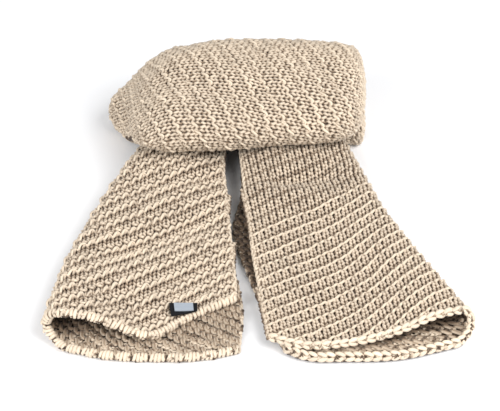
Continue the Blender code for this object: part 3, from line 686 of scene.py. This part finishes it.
class Yarn:
    """Gathers closed yarn tubes into one mesh."""

    def __init__(self, sides=YARN_SIDES):
        self.sides = sides
        self.points = []
        self.quads = []
        self.caps = []
        self.places = []
        self.tones = []
        self.shade_depths = []
        self.count = 0

    def add(self, path, up, radius, tone, depth):
        """One closed tube along a path, up pointing out of the cloth.

        tone varies its colour; depth, its height over the ground cloth, sets its painted shade.
        """
        n, sides = len(path), self.sides
        run = lengths(path[None], 1)[0]
        way = unit(np.gradient(path, axis=0))
        beside = unit(np.cross(way, up))
        over = np.cross(beside, way)
        turn = 2 * np.pi * np.arange(sides) / sides
        ring = (beside[:, None] * np.cos(turn)[None, :, None]
                + over[:, None] * np.sin(turn)[None, :, None])
        radius = np.broadcast_to(radius, (n,))
        tone = np.broadcast_to(tone, (n,))
        depth = np.broadcast_to(depth, (n,))
        tube = path[:, None] + ring * radius[:, None, None]
        ends = np.stack((path[0] - way[0] * radius[0] / 2, path[-1] + way[-1] * radius[-1] / 2))
        self.points.append(np.concatenate((tube.reshape(-1, 3), ends)))
        k = np.arange(sides)
        following = np.mod(k + 1, sides)
        base = self.count + np.arange(n - 1)[:, None] * sides
        self.quads.append(np.stack((
            base + k, base + following, base + sides + following, base + sides + k),
            axis=2).reshape(-1, 4))
        last = (n - 1) * sides
        first_cap = np.stack((following, k, np.full(sides, n * sides)), axis=1)
        last_cap = np.stack((last + k, last + following, np.full(sides, n * sides + 1)), axis=1)
        self.caps.append(np.concatenate((first_cap, last_cap)) + self.count)
        low, high = (np.broadcast_to(at[:, None], (n - 1, sides)) / (2 * np.pi * YARN_RADIUS)
                     for at in (run[:-1], run[1:]))
        left = np.broadcast_to(k / sides, (n - 1, sides))
        right = left + 1 / sides
        self.places.append(np.stack((
            np.stack((low, left), 2), np.stack((low, right), 2),
            np.stack((high, right), 2), np.stack((high, left), 2)), axis=2).reshape(-1, 2))
        self.tones.append(np.concatenate((np.repeat(tone, sides), [tone[0], tone[-1]])))
        spread = depth[:, None] + (ring * up[:, None]).sum(2) * radius[:, None]
        self.shade_depths.append(np.concatenate((spread.reshape(-1), [depth[0], depth[-1]])))
        self.count += n * sides + 2

    def mesh(self, name):
        """The gathered tubes as one object, with yarn places, tones and painted-shade heights."""
        points = np.concatenate(self.points)
        quads = np.concatenate(self.quads)
        caps = np.concatenate(self.caps)
        data = bpy.data.meshes.new(name)
        data.vertices.add(len(points))
        data.vertices.foreach_set("co", points.astype(np.float32).ravel())
        corners = np.concatenate((quads.ravel(), caps.ravel())).astype(np.int32)
        starts = np.concatenate((np.arange(len(quads)) * 4,
                                 len(quads) * 4 + np.arange(len(caps)) * 3)).astype(np.int32)
        data.loops.add(len(corners))
        data.loops.foreach_set("vertex_index", corners)
        data.polygons.add(len(starts))
        data.polygons.foreach_set("loop_start", starts)
        data.update(calc_edges=True)
        data.validate()
        places = data.uv_layers.new(name="yarn")
        flat = np.concatenate((np.concatenate(self.places), np.zeros((len(caps) * 3, 2))))
        places.data.foreach_set("uv", flat.astype(np.float32).ravel())
        # painted shade: the lower the yarn stands over the ground cloth, the browner it is drawn
        shade_depths = np.clip(np.abs(np.concatenate(self.shade_depths)) / PAINTED_SHADE_SPAN, 0.0, 1.0)
        for label, values in (("tone", np.concatenate(self.tones)), ("depth", shade_depths)):
            layer = data.attributes.new(label, "FLOAT", "POINT")
            layer.data.foreach_set("value", values.astype(np.float32))
        data.shade_smooth()
        return shown(name, data)


def less_shade_at_end(cloth, u, v, pale):
    """Share of its colour inner yarn keeps under painted shade: pale, but 1 near the scarf's end."""
    from_end = cloth.lattice[1, 0] * u + cloth.lattice[1, 1] * v
    return pale + (1 - pale) * np.clip(2 - from_end / INNER_EDGE, 0.0, 1.0)


def knit(name, cloth, wales, pattern, segments, seed, lift, ground, inner=False):
    """Every stitch in the given wales that is on the cloth, as one mesh of yarn.

    lift and ground are how far the yarn and the ground cloth stand out of the map's surface.
    The stitches of an inner layer are bolder and, away from the end, darker with painted shade.
    """
    bold, thick, pale = INNER_LOOPS if inner else (1.0, 1.0, 1.0)
    tall = pattern.tall
    corners = [(a, b) for a in (wales[0], wales[-1]) for b in (cloth.along[0], cloth.along[-1])]
    turn = np.linalg.inv(cloth.lattice)
    reach = [turn[1, 0] * a * STITCH_WIDE + turn[1, 1] * b for a, b in corners]
    courses = np.arange(math.floor(min(reach) / tall) - 1, math.ceil(max(reach) / tall) + 1)
    u, v, h = loop_paths(wales, courses, pattern, segments, seed)
    points, out = cloth.at(u, v)
    hole = pattern.hole(u, v)
    height = lift + bold * h + pattern.swell(u, v, out) - HOLE_DEEP * hole
    path = points + out * height[..., None]
    path[..., 2] = np.maximum(path[..., 2], pattern.thick * thick + FLOOR_CLEAR)
    # painted shade: yarn in the holes, and in inner layers away from the end, is drawn darker
    depth = (height - ground) * (1 - hole) * less_shade_at_end(cloth, u, v, pale)
    i, j = np.meshgrid(wales + 0.5, courses + 0.5)
    valid = cloth.holds(i * STITCH_WIDE, j * tall)
    tones = np.random.default_rng(seed + 1).standard_normal(valid.shape)
    yarn = Yarn()
    for row in range(len(courses)):
        for first, last in strands(valid[row]):
            line, up, deep = (
                np.concatenate((whole[row, first:last, :-1].reshape(-1, *whole.shape[3:]),
                                whole[row, last - 1, -1:]))
                for whole in (path, out, depth))
            tone = np.interp(np.arange(len(deep)) / segments, np.arange(last - first) + 0.5,
                             tones[row, first:last])
            yarn.add(line, up, pattern.thick * thick, tone, deep)
    return yarn.mesh(name)


def ridge_strands(name, cloth, wales, pattern, seed, lift, face=1):
    """The smooth raised strand along each ridge, as one mesh of yarn.

    face is -1 for the back of the cloth, which shows twice as many bolder and wavier strands.
    """
    if face > 0:
        thick, raised, sway, step = pattern.strand_thick, STRAND_LIFT, pattern.sway, 1.0
    else:
        thick, raised, sway, step = BACK_YARN, BACK_LIFT, BACK_SWAY, BACK_STEP
    random = np.random.default_rng(seed)
    yarn = Yarn()
    u = np.arange(wales[0], wales[-1] + 1, 1 / STRAND_POINTS)
    stroke = np.mod(u + 0.5, 1.0) - 0.5
    wave = np.cos(2 * np.pi * stroke)
    turn = np.linalg.inv(cloth.lattice)
    ends = [(turn[1, 0] * a * STITCH_WIDE + turn[1, 1] * b) / pattern.tall - pattern.lean * a
            for a in (u[0], u[-1]) for b in (cloth.along[0], cloth.along[-1])]
    first_ridge, last_ridge = math.floor(min(ends) / REPEAT) - 1, math.ceil(max(ends) / REPEAT) + 2
    for ridge in np.arange(first_ridge, last_ridge, step):
        loose = np.interp(u, np.arange(wales[0] - 1, wales[-1] + 3),
                          random.standard_normal(len(wales) + 3))
        v = (pattern.strand(ridge) + pattern.lean * (u - 0.5)
             + pattern.lean * sway * np.sin(2 * np.pi * stroke) + STRAND_LOOSE * loose)
        v = v * pattern.tall
        across = u * STITCH_WIDE
        points, out = cloth.at(across, v)
        height = (lift + pattern.swell(across, v, out) + face * raised
                  + face * STRAND_WAVE * (wave + STRAND_UNEVEN * loose))
        path = points + out * height[:, None]
        path[:, 2] = np.maximum(path[:, 2], thick + FLOOR_CLEAR)
        for first, last in strands(cloth.holds(across, v)):
            if last - first > STRAND_POINTS // 2:
                part = slice(first, last)
                # painted shade where the raised strand dips between two stitches
                shade = PAINTED_SHADE_SPAN * np.where(wave[part] < STRAND_DIP_SHADE[0], STRAND_DIP_SHADE[1], 1.0)
                # painted shade on the back: dark in the fold's inside and on the right tail's lower
                # layer
                if face < 0:
                    pale = np.interp(u[part], FOLD_WALES, (FOLD_SHADE, pattern.inside))
                    shade *= less_shade_at_end(cloth, across[part], v[part], pale)
                tone = STRAND_TONE_AND_HIGHLIGHT[0] + STRAND_TONE_AND_HIGHLIGHT[1] * loose[part]
                yarn.add(path[part], out[part], thick, tone, shade)
    return yarn.mesh(name)


# ---- Edges --------------------------------------------------------------------------------
class Rim:
    """A border line of a cloth with its directions, read by length along it."""

    def __init__(self, points, out, outward, stations):
        self.points = points + FRAME_SHIFT
        self.run = lengths(points[None], 1)[0]
        way = unit(np.gradient(points, axis=0))
        self.out = out
        self.outward = unit(outward - (outward * way).sum(1, keepdims=True) * way)
        self.stations = stations

    def at(self, s):
        """Points, normals, outward directions and stations at the lengths s."""
        s = np.clip(s, 0.0, self.run[-1])
        points, out, outward = (
            np.stack([np.interp(s, self.run, grid[:, i]) for i in range(3)], axis=-1)
            for grid in (self.points, self.out, self.outward))
        return points, unit(out), unit(outward), np.interp(s, self.run, self.stations)

    def around(self, s, angle, radius, back, lift):
        """Points at an angle round the border, 0 outward and a quarter turn out of the cloth.

        back is how far the middle of the turn lies inside the border, and lift how far it is
        raised where the cloth faces down.
        """
        points, out, outward, _ = self.at(s)
        down = np.clip(-out[..., 2:], 0.0, 1.0)
        ray = outward * np.cos(angle)[..., None] + out * np.sin(angle)[..., None]
        middle = points - outward * np.asarray(back)[..., None] + (0, 0, 1) * down * lift
        spot = middle + ray * np.asarray(radius)[..., None]
        spot[..., 2] = np.maximum(spot[..., 2], YARN_RADIUS + FLOOR_CLEAR)
        return spot, ray


def end_rim(tail):
    """The near end of a tail, from the upper selvedge round to the lower one."""
    stations = np.linspace(0.0, 3.0, RIM_STATIONS)
    points, out = tail.middle((0.0, GRID_STEP, 2 * GRID_STEP), stations)
    return Rim(points[0], out[0], points[0] - points[1], stations)


def side_rim(tail, station, inner):
    """A selvedge of a tail, from its near end back."""
    alongs = np.arange(0.0, TAIL_LENGTH, GRID_STEP)
    points, out = tail.middle(alongs, np.array((station, inner, 2 * inner - station)))
    return Rim(points[:, 0], out[:, 0], points[:, 0] - points[:, 1],
               np.full(len(alongs), float(station)))


def core(yarn, rim, radius, back, lift):
    """A plain tube under the strands of an edge."""
    s = np.arange(0.0, rim.run[-1], EDGE_STEP)
    spot, _ = rim.around(s, 0 * s, 0 * s, np.full(len(s), back), lift)
    spot[:, 2] = np.maximum(spot[:, 2], radius + FLOOR_CLEAR)
    _, out, _, _ = rim.at(s)
    yarn.add(spot, out, radius, 0.0, CORE_SHADE_DEPTH)


def cast_on(name, rim):
    """A cord of strands over the border, with a notch after each group."""
    random = np.random.default_rng(31)
    yarn = Yarn(EDGE_SIDES)
    core(yarn, rim, CORD_CORE, CORD_BACK, CORD_LIFT)
    turn = np.linspace(CORD_TURN, -CORD_TURN, CORD_POINTS)
    count = int(rim.run[-1] / STITCH_WIDE * 2)
    for k in range(count):
        group = (k % CORD_GROUP) / (CORD_GROUP - 1) - 0.5
        s = (k + 0.5 - group * CORD_DRAW) * STITCH_WIDE / 2
        s = s + CORD_SLANT * (group - 0.5) * turn / CORD_TURN
        s = s + CORD_UNEVEN[0] * random.standard_normal()
        swell = CORD_ROUND + CORD_BULGE * math.cos(math.pi * group)
        swell = np.full(len(turn), swell + CORD_UNEVEN[1] * random.standard_normal())
        spot, ray = rim.around(s, turn, swell, np.full(len(turn), CORD_BACK), CORD_LIFT)
        yarn.add(spot, ray, CORD_YARN, CORD_HIGHLIGHT_TONE + random.standard_normal(), PAINTED_SHADE_SPAN)
    return yarn.mesh(name)


def bind_off(name, rim):
    """A chain over the border, each link drawn through the last."""
    random = np.random.default_rng(32)
    yarn = Yarn(EDGE_SIDES)
    core(yarn, rim, CHAIN_CORE, CHAIN_BACK, CHAIN_LIFT)
    t = np.linspace(0.0, 1.0, LEG_POINTS)
    full = np.sin(math.pi * t) ** CHAIN_FULL
    for k in range(int(rim.run[-1] / CHAIN_PITCH) + 1):
        for leg in (-1, 1):
            s = (k + CHAIN_REACH * t + CHAIN_UNEVEN * random.standard_normal()) * CHAIN_PITCH
            _, _, _, station = rim.at(s)
            lean = np.interp(station, CHAIN_STATIONS, CHAIN_LEANS)
            spread = CHAIN_START + (CHAIN_SPREAD - CHAIN_START) * np.sin(math.pi / 2 * t)
            radius = np.interp(station, CHAIN_STATIONS, CHAIN_RADII)
            angle = np.radians(lean + leg * spread)
            spot, ray = rim.around(s, angle, radius - CHAIN_DIP * (1 - full),
                                   radius + CHAIN_INSET, CHAIN_LIFT)
            thick = CHAIN_YARN * (1 - CHAIN_THIN * (1 - full))
            # painted shade at each leg's ends, where it dives in
            yarn.add(spot, ray, thick, CHAIN_HIGHLIGHT_TONE + random.standard_normal(), PAINTED_SHADE_SPAN * full)
    return yarn.mesh(name)


def selvedge(yarn, rim, course, seed):
    """Long slanted legs over a side border, one for each two courses."""
    random = np.random.default_rng(seed)
    core(yarn, rim, SIDE_CORE, SIDE_BACK, CORD_LIFT)
    turn = np.linspace(1.0, -1.0, LEG_POINTS)
    for k in range(int(rim.run[-1] / (2 * course)) + 1):
        uneven = SIDE_UNEVEN * random.standard_normal()
        s = (k + 0.5 + SIDE_REACH * turn + uneven) * 2 * course
        angle = np.radians(SIDE_ANGLE + SIDE_TURN * turn)
        radius = SIDE_ROUND - SIDE_DIP * turn ** 4
        spot, ray = rim.around(s, angle, radius, np.full(len(s), SIDE_BACK), CORD_LIFT)
        yarn.add(spot, ray, YARN_RADIUS, random.standard_normal(), SIDE_SHADE_DEPTH * PAINTED_SHADE_SPAN)


def selvedges(name, tail):
    """Both side borders of a tail."""
    yarn = Yarn(EDGE_SIDES)
    selvedge(yarn, side_rim(tail, 0.0, 0.02), tail.pattern.tall, 33)
    selvedge(yarn, side_rim(tail, 3.0, 2.98), tail.pattern.tall, 34)
    return yarn.mesh(name)


# ---- Ground cloth -------------------------------------------------------------------------
def double_skin(name, points, out, wrap):
    """A thin closed skin on a grid of points; wrap closes it round its columns."""
    rows, columns = points.shape[:2]
    work = bmesh.new()
    grids = []
    for sign in (1, -1):
        grid = points + out * (sign * GROUND_THICK / 2)
        grids.append([[work.verts.new(tuple(p)) for p in row] for row in grid])
    last = columns if wrap else columns - 1
    for grid in grids:
        for r in range(rows - 1):
            for c in range(last):
                d = (c + 1) % columns
                work.faces.new((grid[r][c], grid[r][d], grid[r + 1][d], grid[r + 1][c]))
    top, low = grids
    for r in (0, rows - 1):
        for c in range(last):
            d = (c + 1) % columns
            work.faces.new((top[r][c], low[r][c], low[r][d], top[r][d]))
    if not wrap:
        for c in (0, columns - 1):
            for r in range(rows - 1):
                work.faces.new((top[r][c], top[r + 1][c], low[r + 1][c], low[r][c]))
    bmesh.ops.recalc_face_normals(work, faces=work.faces)
    data = bpy.data.meshes.new(name)
    work.to_mesh(data)
    work.free()
    data.shade_smooth()
    return shown(name, data)


def tail_ground(tail):
    """The ground cloth of a tail, nearer its outside in the lower layer."""
    rows, columns = TAIL_SKIN
    stations = np.linspace(0.0, 3.0, columns)
    middle, out = tail.middle(np.linspace(0.0, TAIL_LENGTH, rows), stations)
    stand = np.interp(stations, SKIN_TURN, (UPPER_GROUND, LOWER_GROUND))[None, :, None]
    return double_skin(tail.name + "_tail_ground", middle + out * stand + FRAME_SHIFT, out, False)


def heap_ground(name, table, creases, caps):
    """The ground cloth of a heaped fold, a tube all round with closed ends."""
    grid = []
    for row in heap_sections(table, caps)[::HEAP_SKIN_STEP]:
        line, run = section_line(row, creases)
        over = read_row(np.linspace(run[0], run[-1], HEAP_SKIN[0]), run[::-1], line[::-1])
        under = over[-1] + (over[0] - over[-1]) * np.linspace(0, 1, HEAP_SKIN[1])[1:-1, None]
        grid.append(np.concatenate((over, under)))
    grid = np.stack(grid)
    padded = np.concatenate((grid[:, -1:], grid, grid[:, :1]), axis=1)
    out = normals(padded, -1)[:, 1:-1]
    return double_skin(name, grid - out * HEAP_GROUND_SINK + FRAME_SHIFT, out, True)


# ---- Materials ----------------------------------------------------------------------------
def plain_material(name, colour, roughness):
    """A plain finish."""
    made = bpy.data.materials.new(name)
    made.use_nodes = True
    surface = made.node_tree.nodes["Principled BSDF"]
    surface.inputs["Base Color"].default_value = (*colour, 1.0)
    surface.inputs["Roughness"].default_value = roughness
    return made


class Graph:
    """Adds linked nodes to a material."""

    def __init__(self, name):
        self.made = bpy.data.materials.new(name)
        self.made.use_nodes = True
        self.tree = self.made.node_tree
        self.surface = self.tree.nodes["Principled BSDF"]

    def add(self, kind, settings=(), **inputs):
        """A node with its settings, its inputs given as values or as other nodes' outputs."""
        node = self.tree.nodes.new(kind)
        for key, value in dict(settings).items():
            setattr(node, key, value)
        for key, value in inputs.items():
            place = int(key[1:]) if key[0] == "_" and key[1:].isdigit() else key.replace("_", " ")
            self.put(node.inputs[place], value)
        return node

    def put(self, socket, value):
        """A value or another node's output on a socket."""
        if isinstance(value, bpy.types.NodeSocket):
            self.tree.links.new(value, socket)
        else:
            socket.default_value = value

    def place(self):
        """The place in the object."""
        return self.add("ShaderNodeTexCoord").outputs["Object"]

    def noise(self, place, scale, detail=2.0):
        """Soft noise."""
        made = self.add("ShaderNodeTexNoise", Vector=place, Scale=scale, Detail=detail)
        return made.outputs["Fac"]

    def bump(self, height, strength, distance):
        """A normal for fine relief."""
        made = self.add("ShaderNodeBump", Height=height, Strength=strength, Distance=distance)
        return made.outputs["Normal"]

    def finish(self, **inputs):
        """Values and outputs on the material's surface."""
        for key, value in inputs.items():
            self.put(self.surface.inputs[key.replace("_", " ")], value)
        return self.made


def math_node(graph, operation, *values):
    """One sum, product or the like."""
    inputs = {"_%d" % i: value for i, value in enumerate(values)}
    return graph.add("ShaderNodeMath", {"operation": operation}, **inputs).outputs[0]


def blend_node(graph, share, first, second, how="MIX"):
    """Two colours blended."""
    node = graph.add("ShaderNodeMix", {"data_type": "RGBA", "blend_type": how})
    for place, value in ((0, share), (6, first), (7, second)):
        graph.put(node.inputs[place], value)
    return node.outputs[2]


def yarn_material():
    """Spun yarn with twisted plies, and painted shade: paler atop each loop, browner between."""
    graph = Graph("knit_cream")
    # painted shade: depth turns low yarn brown and leaves the top of each loop cream
    depth = graph.add("ShaderNodeAttribute", {"attribute_name": "depth"}).outputs["Fac"]
    tone = graph.add("ShaderNodeAttribute", {"attribute_name": "tone"}).outputs["Fac"]
    low, high = (graph.add("ShaderNodeMapRange", {"interpolation_type": "SMOOTHSTEP"}, Value=depth,
                           From_Min=first, From_Max=last).outputs["Result"]
                 for first, last in SHADE_RANGES)
    place = graph.place()
    cream = blend_node(graph, graph.noise(place, 28.0), *CREAMS)
    base = blend_node(graph, high, blend_node(graph, low, *SHADE_BROWNS), cream)
    fibre = graph.noise(place, 1400.0, 3.0)
    lift = math_node(graph, "MULTIPLY", tone, TONE_STEP)
    lift = math_node(graph, "ADD", lift, math_node(graph, "MULTIPLY_ADD", fibre, *FIBRE_SHADES))
    tint = graph.add("ShaderNodeCombineXYZ", X=lift, Y=lift, Z=lift).outputs[0]
    colour = blend_node(graph, 1.0, base, tint, "MULTIPLY")
    yarn = graph.add("ShaderNodeUVMap", {"uv_map": "yarn"}).outputs["UV"]
    split = graph.add("ShaderNodeSeparateXYZ", Vector=yarn)
    angle = math_node(graph, "MULTIPLY_ADD", split.outputs["X"], PLY_TWIST, split.outputs["Y"])
    ply = math_node(graph, "SINE", math_node(graph, "MULTIPLY", angle, 2 * math.pi * PLIES))
    relief = math_node(graph, "MULTIPLY_ADD", math_node(graph, "ABSOLUTE", ply), 0.6, fibre)
    return graph.finish(Base_Color=colour, Normal=graph.bump(relief, 0.35, 0.00035),
                        Roughness=0.82, Sheen_Weight=0.12, Sheen_Roughness=0.5)


def ground_shade_material():
    """The loops' undersides deep in the cloth, dark with painted shade: uneven wool."""
    graph = Graph("knit_ground_painted_shade")
    noise = graph.noise(graph.place(), 500.0, 3.0)
    return graph.finish(Base_Color=blend_node(graph, noise, *GROUND_SHADE_BROWNS),
                        Normal=graph.bump(noise, 0.6, 0.0008), Roughness=1.0)


def tape_material():
    """Black woven tape."""
    graph = Graph("label_tape")
    place = graph.place()
    threads = [graph.add("ShaderNodeTexWave", {"bands_direction": way}, Vector=place, Scale=420.0,
                         Distortion=0.6).outputs["Fac"] for way in "XY"]
    relief = math_node(graph, "MULTIPLY", *threads)
    return graph.finish(Base_Color=blend_node(graph, relief, *TAPE_BLACKS),
                        Normal=graph.bump(relief, 0.5, 0.0003), Roughness=0.7,
                        Specular_IOR_Level=0.2)


def plate_material():
    """A pale satin plate, left blank."""
    graph = Graph("label_plate")
    brushed = graph.add("ShaderNodeMapping", Vector=graph.place(), Scale=(150.0, 4000.0, 150.0))
    noise = graph.noise(brushed.outputs[0], 1.0)
    rough = math_node(graph, "MULTIPLY_ADD", noise, 0.2, 0.32)
    return graph.finish(Base_Color=blend_node(graph, noise, *PLATE_GREYS), Roughness=rough,
                        Metallic=0.35)


# ---- Stage --------------------------------------------------------------------------------
def floor():
    """A plain pale floor."""
    bpy.ops.object.select_all(action="DESELECT")
    bpy.ops.mesh.primitive_plane_add(size=12.0, location=(0, 0, -0.0002))
    plane = bpy.context.object
    plane.name = "pale_floor"
    plane.data.materials.append(plain_material("pale_floor", FLOOR_WHITE, 0.9))


def light(name, size, energy, place, aim):
    """A soft square light."""
    data = bpy.data.lights.new(name, "AREA")
    data.size = size
    data.energy = energy
    lamp = shown(name, data)
    lamp.location = place
    lamp.rotation_euler = (Vector(aim) - Vector(place)).to_track_quat("-Z", "Y").to_euler()


def camera():
    """The viewpoint in front of the tails, 40 degrees above the table."""
    data = bpy.data.cameras.new("camera")
    data.sensor_width = 36.0
    data.lens = CAMERA_LENS
    lens = shown("camera", data)
    lens.location = CAMERA_PLACE
    lens.rotation_euler = (CAMERA_TILT, 0, 0)
    bpy.context.scene.camera = lens


def studio():
    """Soft light from all round, and two large lamps before and over the scarf."""
    world = bpy.data.worlds.new("studio")
    world.use_nodes = True
    sky = world.node_tree.nodes["Background"]
    sky.inputs["Color"].default_value = SKY_WHITE
    sky.inputs["Strength"].default_value = SKY_STRENGTH
    bpy.context.scene.world = world
    light("key", 1.2, 22.2, (0.85, -0.45, 1.00), (0, 0, 0))
    light("fill", 1.0, 17.3, (-0.90, -0.90, 0.88), (0, 0, 0))
    bpy.context.scene.view_settings.view_transform = "Standard"


# ---- The scarf ----------------------------------------------------------------------------
def dress(piece, material, node=None):
    """A finished piece with its material, on the scarf's only body."""
    piece.data.materials.append(material)
    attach(piece, "root")
    if node:
        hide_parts(node)
    return piece


def build_tail(tail, edge, cream, deep):
    """One tail: ground cloth, stitches in three stretches, and its borders."""
    cloth = tail.cloth()
    name = tail.name + "_tail"
    ground = dress(tail_ground(tail), deep, name)
    parts = []
    for stretch, first, last, segments, seed, lift, stand in TAIL_STRETCHES:
        parts.append(knit(name + "_" + stretch, cloth, np.arange(first, last), tail.pattern,
                          segments, seed, lift, stand, stretch == "lower"))
    for strand, first, last, seed, lift, face in TAIL_STRANDS:
        parts.append(ridge_strands(name + "_" + strand, cloth, np.arange(first, last),
                                   tail.pattern, seed, lift, face))
    parts.append(edge(name + "_end", end_rim(tail)))
    parts.append(selvedges(name + "_selvedges", tail))
    for piece in parts:
        dress(piece, cream)


def build_heap(name, table, creases, caps, cream, deep):
    """One heaped fold: ground cloth and stitches."""
    cloth = heap_cloth(table, creases, caps)
    ground = dress(heap_ground(name + "_ground", table, creases, caps), deep, name)
    reach = int(max(-cloth.across[0], cloth.across[-1]) / STITCH_WIDE) + 4
    pattern = Pattern(LOOP_COURSE, 1, 1, 1, LOOP_SWELL, LOOP_YARN, LOOP_SWAY, LOOP_STRAND,
                      REPEAT, 1.0)
    wales = np.arange(-reach, reach)
    parts = [
        knit(name + "_stitches", cloth, wales, pattern, LOOP_SEGMENTS, 14, YARN_LIFT,
             HEAP_SINK - HEAP_GROUND_SINK),
        ridge_strands(name + "_strands", cloth, wales, pattern, 16, YARN_LIFT)]
    for piece in parts:
        dress(piece, cream)


def build_label():
    """Better finishes on the label's own solids."""
    for node, made in (("label_patch", tape_material()), ("label_plate", plate_material())):
        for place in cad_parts[node].material_slots:
            place.material = made


def main():
    """Viewpoint, light and floor, then every stretch of the scarf."""
    camera()
    floor()
    studio()
    cream, deep = yarn_material(), ground_shade_material()
    left_rib = Pattern(LEFT_COURSE, -1, -1, 1, TAIL_SWELL, YARN_RADIUS, LEFT_SWAY, LEFT_STRAND,
                       LEFT_KNITS, 1.0)
    right_rib = Pattern(RIGHT_COURSE, 1, 1, -1, TAIL_SWELL, YARN_RADIUS, RIGHT_SWAY, RIGHT_STRAND,
                        RIGHT_KNITS, RIGHT_INSIDE_SHADE)
    left = Tail("left", LEFT_TAIL, LEFT_SETBACK, LEFT_CREASES, LEFT_COURSES, left_rib,
                LEFT_DRIFT, -1)
    right = Tail("right", RIGHT_TAIL, RIGHT_SETBACK, RIGHT_CREASES, RIGHT_COURSES, right_rib,
                 RIGHT_DRIFT, 1)
    build_tail(left, cast_on, cream, deep)
    build_tail(right, bind_off, cream, deep)
    build_heap("neck_wrap", NECK_WRAP, WRAP_CREASES, WRAP_CAPS, cream, deep)
    build_heap("neck_underfold", NECK_UNDERFOLD, (), UNDERFOLD_CAPS, cream, deep)
    build_label()


main()
